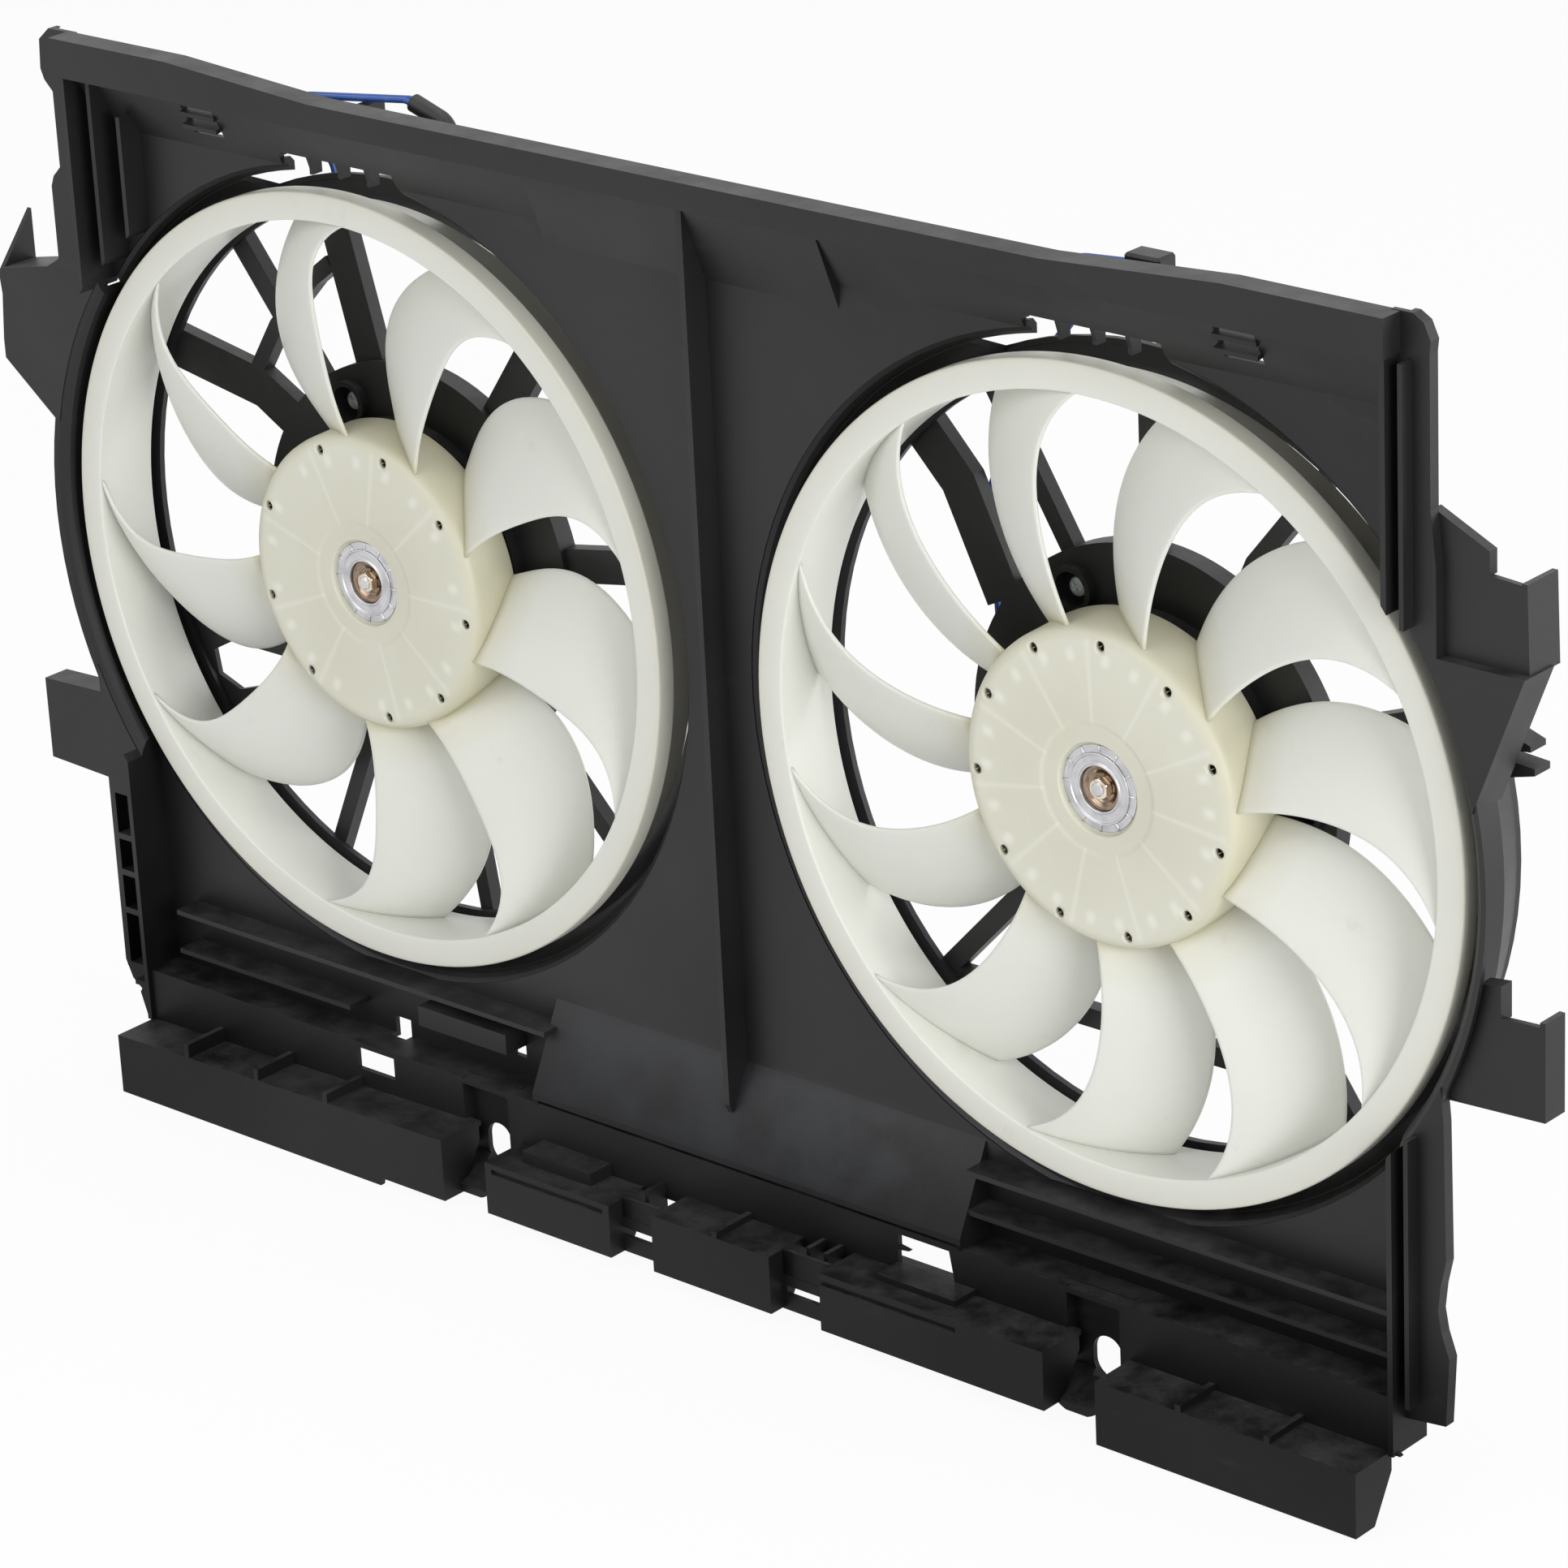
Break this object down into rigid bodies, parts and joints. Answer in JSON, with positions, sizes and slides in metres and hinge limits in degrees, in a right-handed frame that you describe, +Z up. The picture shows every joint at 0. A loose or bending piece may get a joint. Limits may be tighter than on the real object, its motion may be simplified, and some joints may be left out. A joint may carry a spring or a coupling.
{
  "type": "radiator_cooling_fan",
  "caption": "Dual radiator cooling fan: black moulded shroud with two ring-bladed fans of nine and eleven blades, each on its own DC motor, and side mounting tabs.",
  "frame": {"origin": "Middle of the top rail's front face, where the shroud seats on the radiator, midway between the two fan axes.", "axes": "+X to the right along the top rail (longest side), +Y to the rear (air side away from the radiator, the shortest side), +Z up."},
  "size_m": [0.8714, 0.092, 0.52],
  "materials": {
    "black_plastic": "moulded black nylon, faint scuffs",
    "milky_plastic": "milky translucent nylon, soft satin",
    "bright_aluminium": "pressed aluminium, bright",
    "bronze_metal": "sintered bronze, dull",
    "zinc_steel": "blue-white zinc plate",
    "yellow_zinc": "yellow zinc passivated steel",
    "bare_steel": "ground steel",
    "core_steel": "laminated electrical steel",
    "magnet_ferrite": "ferrite, dull",
    "copper_wire": "enamelled copper",
    "blue_insulation": "blue PVC insulation",
    "black_sleeve": "black sleeve"
  },
  "bodies": {
    "shroud_body": {"shroud": "black_plastic", "left_motor_bridge": "black_plastic", "right_motor_bridge": "black_plastic", "left_motor_can": "yellow_zinc", "right_motor_can": "yellow_zinc", "left_motor_cap": "yellow_zinc", "right_motor_cap": "yellow_zinc", "left_front_bearing": "bronze_metal", "right_front_bearing": "bronze_metal", "left_rear_bearing": "bronze_metal", "right_rear_bearing": "bronze_metal", "left_motor_magnets": "magnet_ferrite", "right_motor_magnets": "magnet_ferrite", "left_motor_screws": "zinc_steel", "right_motor_screws": "zinc_steel", "left_lead": "blue_insulation", "right_lead": "blue_insulation", "left_sleeve": "black_sleeve", "left_plug": "black_plastic", "right_plug": "black_plastic", "left_lead_cuff": "black_sleeve", "right_lead_cuff": "black_sleeve"},
    "left_rotor": {"left_fan": "milky_plastic", "left_hub_insert": "bright_aluminium", "left_drive_boss": "bronze_metal", "left_hub_nut": "zinc_steel", "left_motor_shaft": "bare_steel", "left_armature": "core_steel", "left_windings": "copper_wire"},
    "right_rotor": {"right_fan": "milky_plastic", "right_hub_insert": "bright_aluminium", "right_drive_boss": "bronze_metal", "right_hub_nut": "zinc_steel", "right_motor_shaft": "bare_steel", "right_armature": "core_steel", "right_windings": "copper_wire"}
  },
  "joints": [
    {"name": "left_fan_spin", "type": "hinge", "parent": "shroud_body", "child": "left_rotor", "pos_m": [-0.213, 0, -0.225], "axis": [0, 1, 0], "continuous": true},
    {"name": "right_fan_spin", "type": "hinge", "parent": "shroud_body", "child": "right_rotor", "pos_m": [0.213, 0, -0.225], "axis": [0, 1, 0], "continuous": true}
  ]
}
